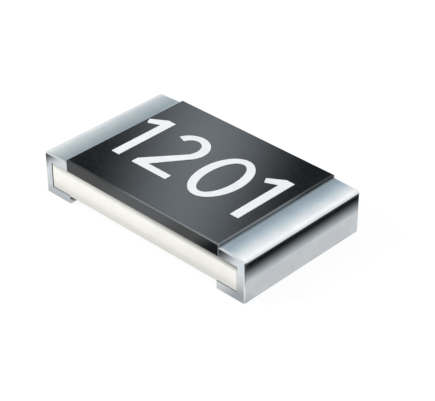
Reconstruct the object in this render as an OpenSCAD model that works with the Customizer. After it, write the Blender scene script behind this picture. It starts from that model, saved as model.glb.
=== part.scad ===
// Thick-film chip resistor for surface mounting, built up layer by layer as the real one is made.
// X runs from terminal to terminal, Y across the chip and Z up.
// The origin is the middle of the underside, in the plane of the two solder feet.

/* [Chip] */
// Length over both terminals
chip_length = 2.1; // [1.7:0.05:3.4]
// Width of the ceramic plate, the coat and the terminals
chip_width = 1.25; // [0.8:0.05:2.6]

/* [Ceramic plate] */
// Thickness of the alumina plate
ceramic_thickness = 0.22; // [0.15:0.005:0.6]
// Bevel that the scribe line leaves along the two long lower edges
scribe_bevel = 0.015; // [0.005:0.001:0.03]

/* [Silver conductors] */
// Thickness of the conductor printed on the upper face
top_conductor_thickness = 0.04; // [0.01:0.005:0.06]
// Thickness of the conductor printed on the lower face
bottom_conductor_thickness = 0.035; // [0.01:0.005:0.06]
// Thickness of the metal film on the end face
edge_conductor_thickness = 0.03; // [0.01:0.005:0.06]
// How far the upper conductor runs in under the black coat
conductor_tuck = 0.2; // [0.15:0.01:0.3]

/* [Plating] */
// Thickness of the nickel barrier
nickel_thickness = 0.015; // [0.005:0.001:0.03]
// Thickness of the tin finish
tin_thickness = 0.025; // [0.012:0.001:0.045]
// Length of the terminal on the upper face
top_terminal_length = 0.25; // [0.15:0.01:0.45]
// Length of the solder foot on the lower face
foot_length = 0.27; // [0.15:0.01:0.6]
// Radius of the terminal's outer edges
terminal_edge_radius = 0.012; // [0.005:0.001:0.05]
// How far the terminal's upper face falls from the coat to the end of the chip
terminal_fall = 0.011; // [0.002:0.001:0.012]

/* [Resistive film] */
// Thickness of the fired film
film_thickness = 0.02; // [0.008:0.001:0.03]
// Bare conductor left beside the film along each side
film_side_margin = 0.13; // [0.05:0.01:0.25]
// Overlap of the film on each upper conductor
film_overlap = 0.1; // [0.03:0.01:0.15]

/* [Laser trim] */
// Width of the cut
trim_width = 0.04; // [0.02:0.005:0.08]
// Depth of the cut across the film, from its front edge
trim_depth = 0.4; // [0.1:0.01:0.6]
// Length of the cut's return along the film
trim_return = 0.3; // [0.1:0.01:0.5]
// Where the cut enters, along X from the middle of the chip
trim_entry = -0.2; // [-0.35:0.01:0.1]

/* [Protective coats] */
// Thickness of the glass over the film
glass_thickness = 0.015; // [0.006:0.001:0.025]
// How far the glass reaches past the film's edges
glass_margin = 0.04; // [0.01:0.005:0.08]
// Height of the black coat above the terminals
overcoat_rise = 0.025; // [0.01:0.005:0.08]
// Radius of the black coat's upper edges
overcoat_edge_radius = 0.012; // [0.004:0.001:0.03]

/* [Hidden] */
$fn = 48;

// Depth of each layer below the terminal's outer skin
nickel_depth = tin_thickness;
silver_depth = tin_thickness + nickel_thickness;

// Levels, from the solder plane up
ceramic_base = silver_depth + bottom_conductor_thickness;
ceramic_top = ceramic_base + ceramic_thickness;
conductor_top = ceramic_top + top_conductor_thickness;
terminal_top = conductor_top + silver_depth;
overcoat_top = terminal_top + overcoat_rise;

// Distances along X from the middle of the chip
chip_end = chip_length / 2;
ceramic_end = chip_end - silver_depth - edge_conductor_thickness;
overcoat_end = chip_end - top_terminal_length;
foot_start = chip_end - foot_length;
conductor_start = overcoat_end - conductor_tuck;
film_end = conductor_start + film_overlap;
film_step = conductor_start - film_thickness;
glass_end = film_end + glass_margin;
glass_step = film_step - glass_thickness;

// Angle by which the terminal's upper face falls
top_slope = atan(terminal_fall / top_terminal_length);

// Widths along Y
conductor_width = chip_width - 2 * silver_depth;
film_width = conductor_width - 2 * film_side_margin;
glass_width = film_width + 2 * glass_margin;

// How far a cutting shape runs past the face that it cuts
overcut = 0.05;

// Turns a section drawn in XZ into a solid centred on Y
module along_y(width) {
    rotate([90, 0, 0]) linear_extrude(height = width, center = true) children();
}

// Turns a section drawn in YZ into a solid centred on X
module along_x(length) {
    rotate([90, 0, 90]) linear_extrude(height = length, center = true) children();
}

// Places a right-hand piece at either end of the chip
module at_end(side) {
    if (side == "left") mirror([1, 0, 0]) children();
    else children();
}

// What rounding takes off a corner; toward points out of the shape, as [-1, 1] does at its upper left
module corner_waste(corner, toward, radius) {
    centre = corner - radius * toward;
    difference() {
        translate((corner + centre) / 2) square(radius, center = true);
        translate(centre) circle(radius);
    }
}

// A rectangle from low to high whose corners, named by the way they point, are rounded
module rounded_box(low, high, radius, corners) {
    difference() {
        translate(low) square(high - low);
        for (toward = corners)
            corner_waste([toward.x > 0 ? high.x : low.x, toward.y > 0 ? high.y : low.y], toward, radius);
    }
}

// Stepped section of a coat that lies on the ceramic and climbs onto both upper conductors
module stepped_section(reach, step, height, base) {
    polygon([
        [-reach, base], [-reach, conductor_top + height],
        [-step, conductor_top + height], [-step, ceramic_top + height],
        [step, ceramic_top + height], [step, conductor_top + height],
        [reach, conductor_top + height], [reach, base]
    ]);
}

// Space that the film fills, trim cut and conductors not yet taken out
module film_space(base) {
    along_y(film_width) stepped_section(film_end, film_step, film_thickness, base);
}

// Space that the film and its glass fill together
module glass_space(base) {
    along_y(glass_width)
        stepped_section(glass_end, glass_step, film_thickness + glass_thickness, base);
}

// Space that one upper conductor fills
module top_conductor_space(base) {
    translate([conductor_start, -conductor_width / 2, base])
        cube([ceramic_end - conductor_start, conductor_width, conductor_top - base]);
}

// The laser's path, in from the front edge and then along the film
module trim_cut() {
    front = -glass_width / 2 - overcut;
    stop = trim_depth - film_width / 2;
    translate([trim_entry, 0, ceramic_top - 2 * overcut])
        linear_extrude(height = film_thickness + glass_thickness + 3 * overcut)
            polygon([
                [0, front], [trim_width, front],
                [trim_width, stop - trim_width], [trim_return, stop - trim_width],
                [trim_return, stop], [0, stop]
            ]);
}

// C-shaped section of one terminal at a depth below its skin, its upper face falling to the end
module terminal_section(depth, fall) {
    polygon([
        [foot_start + depth, depth], [chip_end - depth, depth],
        [chip_end - depth, terminal_top - depth - fall], [overcoat_end, terminal_top - depth],
        [overcoat_end, ceramic_top], [ceramic_end, ceramic_top],
        [ceramic_end, ceramic_base], [foot_start + depth, ceramic_base]
    ]);
}

// What rounding takes off the corner where the falling upper face meets the end face
module end_corner_waste(radius) {
    run = top_terminal_length - radius;
    centre = [chip_end - radius, terminal_top - run * tan(top_slope) - radius / cos(top_slope)];
    difference() {
        translate(centre + [radius * sin(top_slope), 0]) square(2 * radius);
        translate(centre) circle(radius);
    }
}

// One terminal's outer form, rounded along every edge that shows
module rounded_terminal() {
    half_width = chip_width / 2;
    radius = terminal_edge_radius;
    inner_edge = [overcoat_end, 0, terminal_top];
    intersection() {
        along_y(chip_width)
            difference() {
                terminal_section(0, terminal_fall);
                end_corner_waste(radius);
                corner_waste([chip_end, 0], [1, -1], radius);
                corner_waste([foot_start, 0], [-1, -1], radius);
            }
        translate(inner_edge) rotate([0, top_slope, 0]) translate(-inner_edge)
            along_x(2 * chip_length)
                rounded_box([-half_width, -terminal_top], [half_width, terminal_top], radius,
                    [[-1, 1], [1, 1]]);
        along_x(2 * chip_length)
            rounded_box([-half_width, 0], [half_width, terminal_top], radius, [[-1, -1], [1, -1]]);
        linear_extrude(height = terminal_top)
            rounded_box([0, -half_width], [chip_end, half_width], radius, [[1, -1], [1, 1]]);
    }
}

// Space inside a plated skin, left open towards the ceramic and the black coat
module plated_core(depth) {
    along_y(chip_width - 2 * depth)
        polygon([
            [foot_start + depth, depth], [chip_end - depth, depth],
            [chip_end - depth, terminal_top - depth], [overcoat_end - overcut, terminal_top - depth],
            [overcoat_end - overcut, ceramic_base + overcut], [foot_start + depth, ceramic_base + overcut]
        ]);
}

module substrate() {
    half_width = chip_width / 2;
    color("ivory")
        along_x(2 * ceramic_end)
            polygon([
                [scribe_bevel - half_width, ceramic_base], [half_width - scribe_bevel, ceramic_base],
                [half_width, ceramic_base + scribe_bevel], [half_width, ceramic_top],
                [-half_width, ceramic_top], [-half_width, ceramic_base + scribe_bevel]
            ]);
}

module top_conductor(side) {
    color("gainsboro") at_end(side) top_conductor_space(ceramic_top);
}

module bottom_conductor(side) {
    start = foot_start + silver_depth;
    color("gainsboro")
        at_end(side)
            translate([start, -conductor_width / 2, silver_depth])
                cube([ceramic_end - start, conductor_width, bottom_conductor_thickness]);
}

module edge_conductor(side) {
    color("lightgray")
        at_end(side)
            translate([ceramic_end, -conductor_width / 2, silver_depth])
                cube([edge_conductor_thickness, conductor_width, conductor_top - silver_depth]);
}

module resistive_film() {
    color("dimgray")
        difference() {
            film_space(ceramic_top);
            for (side = ["left", "right"]) at_end(side) top_conductor_space(ceramic_top - overcut);
            trim_cut();
        }
}

module glass_coat() {
    color("darkseagreen")
        difference() {
            glass_space(ceramic_top);
            film_space(ceramic_top - overcut);
            for (side = ["left", "right"]) at_end(side) top_conductor_space(ceramic_top - overcut);
            trim_cut();
        }
}

module overcoat() {
    upper_corners = [[-1, 1], [1, 1]];
    half_width = chip_width / 2;
    color("darkslategray")
        difference() {
            intersection() {
                along_y(chip_width)
                    rounded_box([-overcoat_end, ceramic_top], [overcoat_end, overcoat_top],
                        overcoat_edge_radius, upper_corners);
                along_x(2 * overcoat_end)
                    rounded_box([-half_width, ceramic_top], [half_width, overcoat_top],
                        overcoat_edge_radius, upper_corners);
            }
            difference() {
                glass_space(ceramic_top - overcut);
                trim_cut();
            }
            for (side = ["left", "right"]) at_end(side) top_conductor_space(ceramic_top - overcut);
        }
}

module nickel_barrier(side) {
    color("silver")
        at_end(side)
            difference() {
                along_y(chip_width - 2 * nickel_depth) terminal_section(nickel_depth, 0);
                plated_core(silver_depth);
            }
}

module tin_plating(side) {
    color("lightsteelblue")
        at_end(side)
            difference() {
                rounded_terminal();
                plated_core(nickel_depth);
            }
}

substrate();
top_conductor("left");  // top_conductor_left
top_conductor("right");  // top_conductor_right
bottom_conductor("left");  // bottom_conductor_left
bottom_conductor("right");  // bottom_conductor_right
edge_conductor("left");  // edge_conductor_left
edge_conductor("right");  // edge_conductor_right
resistive_film();
glass_coat();
overcoat();
nickel_barrier("left");  // nickel_barrier_left
nickel_barrier("right");  // nickel_barrier_right
tin_plating("left");  // tin_plating_left
tin_plating("right");  // tin_plating_right
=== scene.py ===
"""Dresses the chip resistor and stands it in a plain white studio.

The chip is two millimetres long, so each piece is shaped with one Blender unit as one millimetre
and is brought to metres when its form is done. X runs from terminal to terminal, Y across the chip
and Z up from the plane of the solder feet.
"""

import logging
import math
from collections.abc import Callable, Iterator
from contextlib import contextmanager
from dataclasses import dataclass, field
from enum import Enum
from functools import cache

import bmesh
import bpy
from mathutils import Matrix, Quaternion, Vector


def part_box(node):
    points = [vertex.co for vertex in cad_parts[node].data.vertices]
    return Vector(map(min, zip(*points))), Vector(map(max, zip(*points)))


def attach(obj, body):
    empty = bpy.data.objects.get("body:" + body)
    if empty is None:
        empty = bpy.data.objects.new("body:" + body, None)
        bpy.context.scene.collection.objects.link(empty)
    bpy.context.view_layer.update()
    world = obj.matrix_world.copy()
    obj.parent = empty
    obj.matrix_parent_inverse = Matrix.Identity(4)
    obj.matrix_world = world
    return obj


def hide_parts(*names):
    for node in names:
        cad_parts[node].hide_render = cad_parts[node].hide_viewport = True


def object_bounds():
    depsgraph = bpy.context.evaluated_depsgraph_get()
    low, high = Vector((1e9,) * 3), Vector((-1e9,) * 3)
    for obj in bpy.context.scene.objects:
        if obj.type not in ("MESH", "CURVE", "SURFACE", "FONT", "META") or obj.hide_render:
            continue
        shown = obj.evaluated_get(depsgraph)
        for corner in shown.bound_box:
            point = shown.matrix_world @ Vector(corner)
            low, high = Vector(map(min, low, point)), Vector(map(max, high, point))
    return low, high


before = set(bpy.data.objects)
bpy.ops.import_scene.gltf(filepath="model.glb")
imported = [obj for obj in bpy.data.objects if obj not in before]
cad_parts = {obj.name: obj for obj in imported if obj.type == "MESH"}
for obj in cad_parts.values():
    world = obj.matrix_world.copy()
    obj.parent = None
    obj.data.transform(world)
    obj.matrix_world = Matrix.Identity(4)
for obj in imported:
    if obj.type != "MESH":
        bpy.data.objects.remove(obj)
CAD_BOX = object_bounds()

LOG = logging.getLogger("chip_resistor")

Piece = bpy.types.Object
Node = bpy.types.Node
Socket = bpy.types.NodeSocket
NodeGroup = bpy.types.NodeTree
Face = bmesh.types.BMFace
Colour = tuple[float, float, float, float]
Place = tuple[float, float, float]
Pair = tuple[float, float]
Value = Socket | float | Colour
Test = Callable[..., bool]

MM = 0.001
MICRON = MM / 1000
BODY = "root"
PHOTO_WIDTH = 435
SENSOR_WIDTH = 36.0

ORIGIN = (0.0, 0.0, 0.0)
ALONG = (1.0, 0.0, 0.0)
ACROSS = (0.0, 1.0, 0.0)
UP = (0.0, 0.0, 1.0)
RISING = (0.0, 1.0)
FALLING = (1.0, 0.0)


class Side(Enum):
    """The two ends of the chip, by the sign of X."""

    LEFT = -1
    RIGHT = 1


class Slot(Enum):
    """Material slots of the record, one for each finish of the scene's own pieces."""

    ALUMINA = "alumina"
    BLACK_COAT = "black_coat"
    TIN = "tin"
    INK = "marking_ink"


class Pick(Enum):
    """What is selected while a piece is shaped."""

    POINTS = "VERT"
    EDGES = "EDGE"
    FACES = "FACE"


class Glyph(Enum):
    """Numerals of the printed value."""

    ZERO = "0"
    ONE = "1"
    TWO = "2"


@dataclass(frozen=True)
class NodeBox:
    """Lowest and highest corner of one CAD node, in millimetres."""

    low: Vector
    high: Vector

    @classmethod
    def of(cls, node: str) -> "NodeBox":
        """Reads the box of a CAD node by its name."""
        low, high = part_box(node)
        return cls(low / MM, high / MM)


class Bench:
    """Hand tools for shaping one piece at a time, in millimetres."""

    NEAR = 1e-4
    FACING = 0.5
    ROUND_PROFILE = 0.5
    FLAT_ANGLE = math.radians(32.0)

    @classmethod
    def near(cls, value: float, *others: float) -> bool:
        """Tells whether all the other lengths are the same as the first."""
        return all(abs(value - other) < cls.NEAR for other in others)

    @staticmethod
    def clear() -> None:
        """Deselects every object."""
        bpy.ops.object.select_all(action="DESELECT")

    @classmethod
    def take(cls, piece: Piece) -> None:
        """Makes one object the only selected one, and the active one.

        Args:
            piece: The object.
        """
        cls.clear()
        piece.select_set(True)
        bpy.context.view_layer.objects.active = piece

    @classmethod
    def freeze(cls, piece: Piece) -> None:
        """Moves an object's place, turn and scale into its mesh."""
        cls.take(piece)
        bpy.ops.object.transform_apply(location=True, rotation=True, scale=True)

    @staticmethod
    def fresh(name: str) -> Piece:
        """Names the object that an operator has just made, and its mesh.

        Args:
            name: The name of both.

        Returns:
            The object.
        """
        piece = bpy.context.active_object
        piece.name = name
        piece.data.name = name
        return piece

    @classmethod
    def copy(cls, piece: Piece, name: str) -> Piece:
        """Copies a piece with its mesh.

        Args:
            piece: The piece.
            name: Name of the copy.

        Returns:
            The copy.
        """
        cls.take(piece)
        bpy.ops.object.duplicate()
        return cls.fresh(name)

    @classmethod
    def drop(cls, piece: Piece) -> None:
        """Throws a piece away."""
        cls.take(piece)
        bpy.ops.object.delete()

    @classmethod
    def box(cls, name: str, low: Vector, high: Vector) -> Piece:
        """Adds a block between two corners.

        Args:
            name: Name of the new piece.
            low: Lowest corner.
            high: Highest corner.

        Returns:
            The block, with its place in its mesh.
        """
        cls.clear()
        bpy.ops.mesh.primitive_cube_add(size=1.0, location=(low + high) / 2, scale=high - low)
        piece = cls.fresh(name)
        cls.freeze(piece)
        return piece

    @classmethod
    @contextmanager
    def shaping(cls, piece: Piece, kind: Pick) -> Iterator[None]:
        """Opens a piece in edit mode with nothing selected.

        Args:
            piece: The piece to shape.
            kind: What is selected there.

        Returns:
            A context that goes back to object mode at its end.
        """
        cls.take(piece)
        bpy.ops.object.mode_set(mode="EDIT")
        bpy.ops.mesh.select_mode(type=kind.value)
        cls.open_mesh(piece)
        yield
        bpy.ops.object.mode_set(mode="OBJECT")

    @staticmethod
    def pick_all() -> None:
        """Selects all of the open piece."""
        bpy.ops.mesh.select_all(action="SELECT")

    @staticmethod
    def open_mesh(piece: Piece) -> bmesh.types.BMesh:
        """Deselects all of the open piece and gives its mesh."""
        bpy.ops.mesh.select_all(action="DESELECT")
        return bmesh.from_edit_mesh(piece.data)

    @classmethod
    def pick(cls, kind: Pick, piece: Piece, test: Test) -> None:
        """Selects the points, edges or faces that pass a test, and nothing else.

        Args:
            kind: Which of them are looked at.
            piece: The piece that is open in edit mode.
            test: Takes the place of a point, the places of an edge's two ends, or a face.
        """
        bpy.ops.mesh.select_mode(type=kind.value)
        mesh = cls.open_mesh(piece)
        looked_at = {
            Pick.POINTS: [(point, [point.co]) for point in mesh.verts],
            Pick.EDGES: [(edge, [end.co for end in edge.verts]) for edge in mesh.edges],
            Pick.FACES: [(face, [face]) for face in mesh.faces],
        }
        for part, facts in looked_at[kind]:
            if test(*facts):
                part.select_set(True)
        bmesh.update_edit_mesh(piece.data)

    @staticmethod
    def extrude(offset: Place) -> None:
        """Extrudes what is selected by an offset."""
        bpy.ops.mesh.extrude_region_move(TRANSFORM_OT_translate={"value": offset})

    @staticmethod
    def move(offset: Place) -> None:
        """Moves what is selected by an offset."""
        bpy.ops.transform.translate(value=offset)

    @classmethod
    def split(cls, place: Place, normal: Place) -> None:
        """Cuts new edges all round the open piece, along the plane through a place."""
        cls.pick_all()
        bpy.ops.mesh.bisect(plane_co=place, plane_no=normal)

    @classmethod
    def round_off(cls, radius: float, segments: int) -> None:
        """Rounds the selected edges.

        Args:
            radius: Radius of the rounding.
            segments: Number of flats that make the round.
        """
        bpy.ops.mesh.bevel(
            offset_type="OFFSET", offset=radius, segments=segments, profile=cls.ROUND_PROFILE,
            affect="EDGES", clamp_overlap=False,
        )

    @classmethod
    def weld(cls) -> None:
        """Merges the points of the open piece that lie in one place."""
        cls.pick_all()
        bpy.ops.mesh.remove_doubles(threshold=cls.NEAR)
        bpy.ops.mesh.dissolve_degenerate(threshold=cls.NEAR)

    @classmethod
    def turn_out(cls) -> None:
        """Turns every face of the open piece outwards."""
        cls.pick_all()
        bpy.ops.mesh.normals_make_consistent(inside=False)

    @classmethod
    def carve(cls, piece: Piece, tool: Piece) -> None:
        """Takes one solid out of another and throws the tool away.

        Args:
            piece: The piece that is cut.
            tool: The solid that is taken out of it.
        """
        cut = piece.modifiers.new("carve", "BOOLEAN")
        cut.operation = "DIFFERENCE"
        cut.solver = "EXACT"
        cut.object = tool
        cls.take(piece)
        bpy.ops.object.modifier_apply(modifier=cut.name)
        cls.drop(tool)

    @classmethod
    def polish(cls, piece: Piece) -> None:
        """Shades the rounds smooth and keeps the flats flat.

        Args:
            piece: The finished piece.
        """
        cls.take(piece)
        bpy.ops.object.shade_smooth_by_angle(angle=cls.FLAT_ANGLE)
        weights = piece.modifiers.new("flats", "WEIGHTED_NORMAL")
        weights.keep_sharp = True
        bpy.ops.object.modifier_apply(modifier=weights.name)

    @classmethod
    def to_metres(cls, piece: Piece) -> None:
        """Brings a finished piece from millimetres to metres."""
        piece.scale = (MM, MM, MM)
        cls.freeze(piece)


def grey(level: float) -> Colour:
    """Gives a colour without hue."""
    return (level, level, level, 1.0)


@dataclass
class Board:
    """A node tree that is being wired."""

    tree: NodeGroup

    @classmethod
    def blank(cls, material: bpy.types.Material) -> tuple["Board", Socket]:
        """Opens a material with nothing in it but an output.

        Args:
            material: The material.

        Returns:
            Its board, and the output's socket for a surface.
        """
        material.use_nodes = True
        material.node_tree.nodes.clear()
        board = cls(material.node_tree)
        return board, board.add("ShaderNodeOutputMaterial").inputs["Surface"]

    def add(self, kind: str, **settings: object) -> Node:
        """Adds a node.

        Args:
            kind: Blender's name of the node type.
            settings: Properties of the node.

        Returns:
            The new node.
        """
        node = self.tree.nodes.new(kind)
        for name, value in settings.items():
            setattr(node, name, value)
        return node

    def feed(self, target: Socket, value: Value) -> None:
        """Joins an output to an input, or sets the input to a plain value.

        Args:
            target: The input.
            value: The output or the value.
        """
        if isinstance(value, Socket):
            self.tree.links.new(value, target)
        else:
            target.default_value = value

    def feed_all(self, node: Node, *values: Value) -> Socket:
        """Feeds a node's inputs in order, and gives its first output.

        Args:
            node: The node.
            values: Outputs or values, one for each input.

        Returns:
            The result's socket.
        """
        for target, value in zip(node.inputs, values):
            self.feed(target, value)
        return node.outputs[0]

    def place(self) -> Socket:
        """Gives the place on the object's own axes."""
        return self.add("ShaderNodeTexCoord").outputs["Object"]

    def axes(self) -> list[Socket]:
        """Gives the place on the object's own axes, as its X, Y and Z.

        Returns:
            The three sockets.
        """
        node = self.add("ShaderNodeSeparateXYZ")
        self.feed(node.inputs[0], self.place())
        return list(node.outputs)

    def effect(self, group: NodeGroup, **settings: Value | Vector) -> Node:
        """Places a shared effect on the object's own axes.

        Args:
            group: The effect's node group.
            settings: Value of each input, by its name in small letters with _ for a space.

        Returns:
            The group node.
        """
        node = self.add("ShaderNodeGroup", node_tree=group)
        self.feed(node.inputs["Coordinates"], self.place())
        for name, value in settings.items():
            node.inputs[name.replace("_", " ").title()].default_value = value
        return node

    def math(self, operation: str, *values: Value) -> Socket:
        """Adds a sum on one or two values, by Blender's name of it."""
        return self.feed_all(self.add("ShaderNodeMath", operation=operation), *values)

    def fade(self, value: Socket, span: Pair, levels: Pair, smooth: bool = True) -> Socket:
        """Leads a value over from one level to another.

        Args:
            value: The value to follow.
            span: Where the fade starts and ends.
            levels: The result before it and after it.
            smooth: Whether it eases in and out.

        Returns:
            The result's socket.
        """
        kind = "SMOOTHSTEP" if smooth else "LINEAR"
        node = self.add("ShaderNodeMapRange", interpolation_type=kind)
        return self.feed_all(node, value, *span, *levels)

    def blend(self, colour: Socket, tone: Value, mask: Value, kind: str = "MIX") -> Socket:
        """Lays a tone over a colour.

        Args:
            colour: The colour underneath.
            tone: The tone on top.
            mask: 1 where the tone covers the colour, and 0 where it is bare.
            kind: Blender's name of the way in which the two mix.

        Returns:
            The mixed colour's socket.
        """
        node = self.add("ShaderNodeMix", data_type="RGBA", blend_type=kind)
        for label, value in (("A", colour), ("B", tone), ("Factor", mask)):
            self.feed(node.inputs[label], value)
        return node.outputs["Result"]

    def ramp(self, value: Socket, stops: dict[float, Colour]) -> Socket:
        """Turns a value from 0 to 1 into a colour.

        Args:
            value: The value to follow.
            stops: The colour at each value, in rising order.

        Returns:
            The colour's socket.
        """
        node = self.add("ShaderNodeValToRGB")
        marks = node.color_ramp.elements
        while len(marks) < len(stops):
            marks.new(1.0)
        for mark, (position, colour) in zip(marks, stops.items()):
            mark.position = position
            mark.color = colour
        return self.feed_all(node, value)

    def light(self, tone: Value, level: Value) -> Socket:
        """Adds a glow with a tone and a level."""
        return self.feed_all(self.add("ShaderNodeEmission"), tone, level)

    def clear(self) -> Socket:
        """Adds a shader that shows what is behind it."""
        return self.add("ShaderNodeBsdfTransparent").outputs[0]

    def mix(self, share: Socket, one: Socket, two: Socket) -> Socket:
        """Mixes two shaders, by the share of the second."""
        return self.feed_all(self.add("ShaderNodeMixShader"), share, one, two)

    def rays(self) -> tuple[Socket, Socket]:
        """Tells the rays of the camera from those that metal or glass sends on.

        Returns:
            The sockets of two masks, 1 for a ray of the camera and 1 for one that was sent on.
        """
        path = self.add("ShaderNodeLightPath")
        sent_on = [path.outputs[f"Is {kind} Ray"] for kind in ("Glossy", "Transmission")]
        return path.outputs["Is Camera Ray"], self.math("MAXIMUM", *sent_on)


class Effects:
    """Shader node groups that several finishes share, each made once."""

    GRAIN_DETAIL = 3.0
    GRAIN_ROUGHNESS = 0.6
    DRIFT_DETAIL = 2.0
    DRIFT_ROUGHNESS = 0.5
    NOISE_SPREAD = (0.3, 0.7)
    VECTOR = "NodeSocketVector"
    FLOAT = "NodeSocketFloat"
    COLOUR = "NodeSocketColor"

    @staticmethod
    def _start(name: str, inputs: dict[str, str], outputs: dict[str, str]) -> tuple[Board, Node, Node]:
        """Opens a new group.

        Args:
            name: Name of the group.
            inputs: Socket type for each input's name.
            outputs: Socket type for each output's name.

        Returns:
            The group's board, its input node and its output node.
        """
        group = bpy.data.node_groups.new(name, "ShaderNodeTree")
        for way, sockets in (("INPUT", inputs), ("OUTPUT", outputs)):
            for label, kind in sockets.items():
                group.interface.new_socket(label, in_out=way, socket_type=kind)
        board = Board(group)
        return board, board.add("NodeGroupInput"), board.add("NodeGroupOutput")

    @classmethod
    def _noise(cls, board: Board, start: Node, detail: float, roughness: float) -> Socket:
        """Adds a soft noise at the group's coordinates and scale.

        Args:
            board: The group's board.
            start: The group's input node.
            detail: How many finer layers the noise has.
            roughness: How strong the finer layers are.

        Returns:
            The socket of the noise, from 0 to 1.
        """
        noise = board.add("ShaderNodeTexNoise")
        noise.inputs["Detail"].default_value = detail
        noise.inputs["Roughness"].default_value = roughness
        board.feed(noise.inputs["Vector"], start.outputs["Coordinates"])
        board.feed(noise.inputs["Scale"], start.outputs["Scale"])
        return board.fade(noise.outputs["Fac"], cls.NOISE_SPREAD, RISING, smooth=False)

    @classmethod
    @cache
    def fine_grain(cls) -> NodeGroup:
        """Gives the group whose Grain goes from 0 to 1 over a fine, even grain.

        Returns:
            The node group.
        """
        board, start, end = cls._start(
            "fine_grain", {"Coordinates": cls.VECTOR, "Scale": cls.FLOAT}, {"Grain": cls.FLOAT}
        )
        grain = cls._noise(board, start, cls.GRAIN_DETAIL, cls.GRAIN_ROUGHNESS)
        board.feed(end.inputs["Grain"], grain)
        return board.tree

    @classmethod
    @cache
    def tone_drift(cls) -> NodeGroup:
        """Gives the group whose Colour drifts in soft patches between two tones.

        Returns:
            The node group.
        """
        inputs = {
            "Coordinates": cls.VECTOR, "Scale": cls.FLOAT, "Light": cls.COLOUR, "Dark": cls.COLOUR,
        }
        board, start, end = cls._start("tone_drift", inputs, {"Colour": cls.COLOUR})
        patches = cls._noise(board, start, cls.DRIFT_DETAIL, cls.DRIFT_ROUGHNESS)
        drift = board.blend(start.outputs["Light"], start.outputs["Dark"], patches)
        board.feed(end.inputs["Colour"], drift)
        return board.tree

    @classmethod
    @cache
    def edge_light_masks(cls) -> NodeGroup:
        """Gives the group whose masks are 1 along the edges of a box and 0 on its faces.

        The box stands on the solder plane, and its far corner is the Half Size. The end mask follows the
        upper and upright edges of its ends, and the side mask the upper edges of its long sides. Down the
        ends the end mask reaches farther than across the top, by the share Reach Down. The masks place
        painted highlight and painted shade.

        Returns:
            The node group.
        """
        inputs = {
            "Coordinates": cls.VECTOR, "Half Size": cls.VECTOR, "Width": cls.FLOAT,
            "Reach Down": cls.FLOAT,
        }
        board, start, end = cls._start("edge_light_masks", inputs, {"End Wear": cls.FLOAT, "Side Wear": cls.FLOAT})
        outwards = board.add("ShaderNodeVectorMath", operation="ABSOLUTE")
        depth = board.add("ShaderNodeVectorMath", operation="SUBTRACT")
        axes = board.add("ShaderNodeSeparateXYZ")
        outer_place = board.feed_all(outwards, start.outputs["Coordinates"])
        board.feed_all(axes, board.feed_all(depth, start.outputs["Half Size"], outer_place))
        along, across, below = axes.outputs
        lower = board.math("DIVIDE", below, start.outputs["Reach Down"])
        to_edges = {
            "End Wear": board.math("MAXIMUM", along, board.math("MINIMUM", across, lower)),
            "Side Wear": board.math("MAXIMUM", across, below),
        }
        for label, to_edge in to_edges.items():
            share = board.math("DIVIDE", to_edge, start.outputs["Width"])
            board.feed(end.inputs[label], board.fade(share, RISING, FALLING))
        return board.tree


@dataclass(frozen=True)
class PaintedEdgeLight:
    """Painted highlight and painted shade along edges: a tone laid over a width in micrometres.

    They are the outer edges of a CAD node and of its mirror image at the chip's other end. The painted
    tone grows along a heading across the chip, from none to full over a rise in millimetres.
    """

    node: str
    width: float
    end_tone: Colour
    side_tone: Colour
    reach_down: float
    heading: Pair = (0.0, 0.0)
    rise: Pair = (-1.0, 0.0)


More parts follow.
